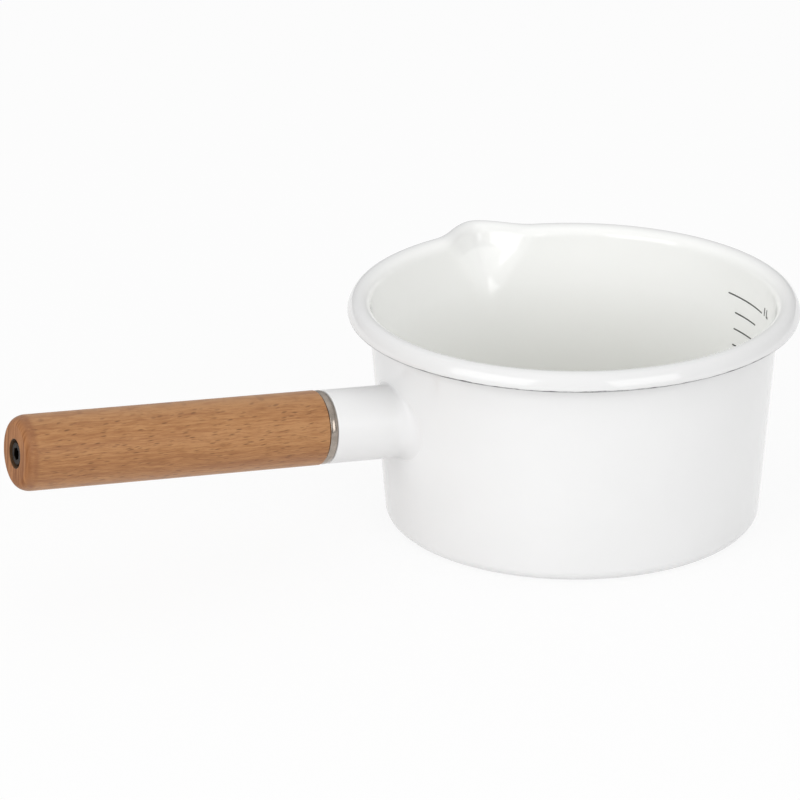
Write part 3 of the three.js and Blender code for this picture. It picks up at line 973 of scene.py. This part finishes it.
def beech_finish():
    """Side grain, then browner end grain where the surface faces along the grip, a darker turn between
    the two, a bore painted dark brown as shade, and fine pores over all."""
    finish, tree, shader = new_finish("turned_beech")
    spot = tree.nodes.new("ShaderNodeTexCoord")
    here = spot.outputs["Object"]
    waver = node(tree, "TexNoise", {"Vector": here, "Scale": WAVER_SCALE, "Detail": 2}, output="Color")
    shift = node(tree, "VectorMath", {0: waver, 1: (WAVER, WAVER, WAVER)}, operation="MULTIPLY")
    bent = node(tree, "VectorMath", {0: here, 1: shift}, operation="ADD")
    place = handle_place(tree, bent)
    rings = stretched_noise(tree, place, RING_SIZE, detail=2)
    facing = facing_share(tree, spot.outputs["Normal"], handle_along)
    sideways = node(tree, "Math", {0: facing_share(tree, spot.outputs["Normal"], handle_side)},
                    operation="ABSOLUTE")
    leaning = handle_place(tree, bent, FLECK_LEAN)
    sides, bands, dashes = side_grain(tree, place, leaning, rings, sideways)

    end_grain = ramp(tree, rings, END_RINGS)
    darkness = between(tree, rings, *TURNING_RINGS, *TURNING_DARKNESS)
    turning = times(tree, between(tree, facing, *TURNING_FACING), darkness)
    edged = blend(tree, turning, sides, EDGE_BROWN)
    end_share = between(tree, facing, *END_FACING)
    ended = blend(tree, end_share, edged, end_grain)

    axis_parts = tree.nodes.new("ShaderNodeSeparateXYZ")
    put(axis_parts, {"Vector": handle_place(tree, here)})
    across = node(tree, "CombineXYZ", {"X": axis_parts.outputs["X"], "Y": axis_parts.outputs["Y"]})
    radius = node(tree, "VectorMath", {0: across}, output="Value", operation="LENGTH")
    # The bore is painted dark brown as shade.
    bore_shade = between(tree, radius, COUNTERBORE + BORE_CHAMFER, COUNTERBORE, 0, 1)
    bore_shaded = blend(tree, bore_shade, ended, BORE_SHADE_BROWN)

    pores = stretched_noise(tree, place, PORE_SIZE, detail=2)
    pore_share = between(tree, pores, *PORE_EDGE, 0, PORE_DARKNESS)
    relief = times_plus(tree, dashes, DASH_RELIEF, pores)
    side_rough = between(tree, bands, NOISE_LOW, NOISE_HIGH, *WOOD_ROUGH)
    put(shader, {
        "Base Color": blend(tree, pore_share, bore_shaded, FLECK_BROWN),
        "Roughness": times_plus(tree, end_share, END_ROUGHER, side_rough),
        "IOR": 1.45,
        "Sheen Weight": 0.14,
        "Sheen Roughness": 0.4,
        "Normal": node(tree, "Bump", {"Height": relief, **WOOD_BUMP}, invert=True),
    })
    return finish


dress(grip, beech_finish())
print("beech on", grip.name)

# %% [markdown]
# ## Steel
# The ferrule was turned, so its marks run round it, very fine and close. The plate, nut and washer
# inside the handle are plain steel and zinc, and the screw is blackened. The shader's Anisotropic value
# could draw such marks, but a stretched noise that makes the roughness waver serves all of them; only
# the spacing, the direction and the colour differ.

# %% Steels
STAINLESS = ((0.32, 0.278, 0.240), (0.42, 0.368, 0.320))
BLACK_OXIDE = ((0.013, 0.009, 0.007), (0.026, 0.018, 0.013))
PLAIN_STEEL = ((0.33, 0.32, 0.31), (0.44, 0.43, 0.42))
ZINC = ((0.40, 0.40, 0.41), (0.54, 0.54, 0.53))
TURNED_GRAIN = (0.02, 0.02, 0.00012)
ROLLED_GRAIN = (0.004, 0.0003, 0.004)
CAST_GRAIN = (0.0005, 0.0005, 0.0005)
STEEL_CLOUD = 420
STEEL_ROUGH_SPREAD = 0.14
STEEL_RELIEF = 0.00003


def steel_finish(name, colours, grain, rough, lift):
    """A metal that clouds between two colours, with a grain stretched by three sizes along the handle's
    axes. The grain spreads the roughness, and lift is the strength of its relief."""
    finish, tree, shader = new_finish(name)
    place = handle_place(tree, node(tree, "TexCoord", {}, output="Object"))
    lines = stretched_noise(tree, place, grain, detail=3)
    cloud = node(tree, "TexNoise", {"Vector": place, "Scale": STEEL_CLOUD, "Detail": 3})
    put(shader, {
        "Base Color": ramp(tree, cloud, list(zip((NOISE_LOW, NOISE_HIGH), colours))),
        "Metallic": 1.0,
        "Roughness": between(tree, lines, NOISE_LOW, NOISE_HIGH, rough, rough + STEEL_ROUGH_SPREAD),
        "Normal": node(tree, "Bump", {"Height": lines, "Strength": lift, "Distance": STEEL_RELIEF}),
    })
    return finish


dress(ferrule, steel_finish("turned_stainless", STAINLESS, TURNED_GRAIN, rough=0.12, lift=0.3))
dress(screw, steel_finish("black_oxide", BLACK_OXIDE, CAST_GRAIN, rough=0.42, lift=0.2))
inner_steel = steel_finish("plain_steel", PLAIN_STEEL, ROLLED_GRAIN, rough=0.38, lift=0.3)
zinc = steel_finish("zinc_plate", ZINC, CAST_GRAIN, rough=0.30, lift=0.2)
hidden_steels = {"socket_plate": inner_steel, "weld_nut": inner_steel, "flat_washer": zinc}
for node_name, steel in hidden_steels.items():
    dress(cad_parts[node_name], steel)
print("steels on", ferrule.name, screw.name, "and three CAD nodes")

# %% [markdown]
# ## Stage
# The photograph is a cut-out on white. A large white floor under the pan and a white world give that
# background: rays from the camera see plain white. Mirror rays see the floor's white too, but in the
# world they meet the room, which is brighter overhead than at the horizon and so shapes the gloss. The
# floor keeps enough of its own shading to hold the pan's soft shadow.

# %% Floor and world
FLOOR_HALF = 6.0
FLOOR_DROP = 0.0002
FLOOR_WHITE = (0.90, 0.90, 0.90, 1)
FLOOR_GLOW_SHARE = 0.88
HORIZON = 0.34
ZENITH = 1.0


def seen_plainly(tree, mirrors):
    """One for camera and see-through rays, and for mirror rays too if they count; nothing for the
    light that falls on the pan."""
    path = tree.nodes.new("ShaderNodeLightPath")
    seen = node(tree, "Math", {0: path.outputs["Is Camera Ray"], 1: path.outputs["Is Transmission Ray"]},
                operation="MAXIMUM")
    if not mirrors:
        return seen
    return node(tree, "Math", {0: seen, 1: path.outputs["Is Glossy Ray"]}, operation="MAXIMUM")


def white_floor():
    """Matt white that is mixed with an even glow for the rays that see it plainly."""
    finish, tree, shader = new_finish("white_floor")
    put(shader, {"Base Color": FLOOR_WHITE, "Roughness": 0.9, "Specular IOR Level": 0.0})
    glow = node(tree, "Emission", {"Color": (1, 1, 1, 1), "Strength": 1.0})
    share = times(tree, seen_plainly(tree, mirrors=True), FLOOR_GLOW_SHARE)
    mixed = node(tree, "MixShader", {0: share, 1: shader.outputs["BSDF"], 2: glow})
    put(tree.nodes["Material Output"], {"Surface": mixed})
    return finish


corners = np.array([(-1, -1, 0), (1, -1, 0), (1, 1, 0), (-1, 1, 0)]) * FLOOR_HALF - (0, 0, FLOOR_DROP)
floor_mesh = bpy.data.meshes.new("studio_floor")
floor_mesh.from_pydata(corners.tolist(), [], [(0, 1, 2, 3)])
floor = bpy.data.objects.new("studio_floor", floor_mesh)
bpy.context.scene.collection.objects.link(floor)
dress(floor, white_floor())

world = bpy.data.worlds.new("studio_white")
world.use_nodes = True
sky = world.node_tree.nodes["Background"]
direction = node(world.node_tree, "TexCoord", {})
height = node(world.node_tree, "SeparateXYZ", {"Vector": direction}, output="Z")
room = between(world.node_tree, height, 0, 1, HORIZON, ZENITH)
plain = seen_plainly(world.node_tree, mirrors=False)
level = node(world.node_tree, "Mix", {"Factor": plain, "A": room, "B": 1.0})
put(sky, {"Color": (1, 1, 1, 1), "Strength": level})
bpy.context.scene.world = world
print("floor", 2 * FLOOR_HALF, "m wide, room light", HORIZON, "to", ZENITH)

# %% [markdown]
# ## Light
# Two soft boxes do the shaping, left and right of the camera and about half a metre above the rim. Their
# reflections draw the highlights along the rim, and the left one also shines in the spout. Each was
# weighed up against the room's own light, so that only the spout and parts of the rim come near to full
# white. A picture of a studio could light the pan too, but two lamps are easier to aim.

# %% Soft boxes
def soft_box(name, azimuth, elevation, distance, size, power):
    """A rectangular lamp in a direction from the pot's middle, facing it. Azimuth runs from +X."""
    lamp = bpy.data.lights.new(name, "AREA")
    lamp.shape = "RECTANGLE"
    lamp.size, lamp.size_y = size
    lamp.energy = power
    box = bpy.data.objects.new(name, lamp)
    flat = math.cos(math.radians(elevation))
    around = math.radians(azimuth)
    away = np.array([math.cos(around) * flat, math.sin(around) * flat, math.sin(math.radians(elevation))])
    level = np.array([-math.sin(around), math.cos(around), 0.0])
    place = away * distance + np.array([0, 0, POT_HEIGHT / 2])
    axes = np.column_stack([level, np.cross(away, level), away, place])
    box.matrix_world = Matrix(axes.tolist() + [[0, 0, 0, 1]])
    box.visible_camera = False
    bpy.context.scene.collection.objects.link(box)
    print(name, "at", np.round(place, 2), power, "W")
    return box


soft_box("left_box", azimuth=-158, elevation=21.5, distance=1.5, size=(1.10, 0.80), power=6.5)
soft_box("right_box", azimuth=-81, elevation=20.5, distance=1.5, size=(0.90, 0.74), power=4.75)

# %% [markdown]
# ## View
# Standard view shows the colours as they were written. The dressed pan keeps the size of its solids.

# %% View
bpy.context.scene.view_settings.view_transform = "Standard"
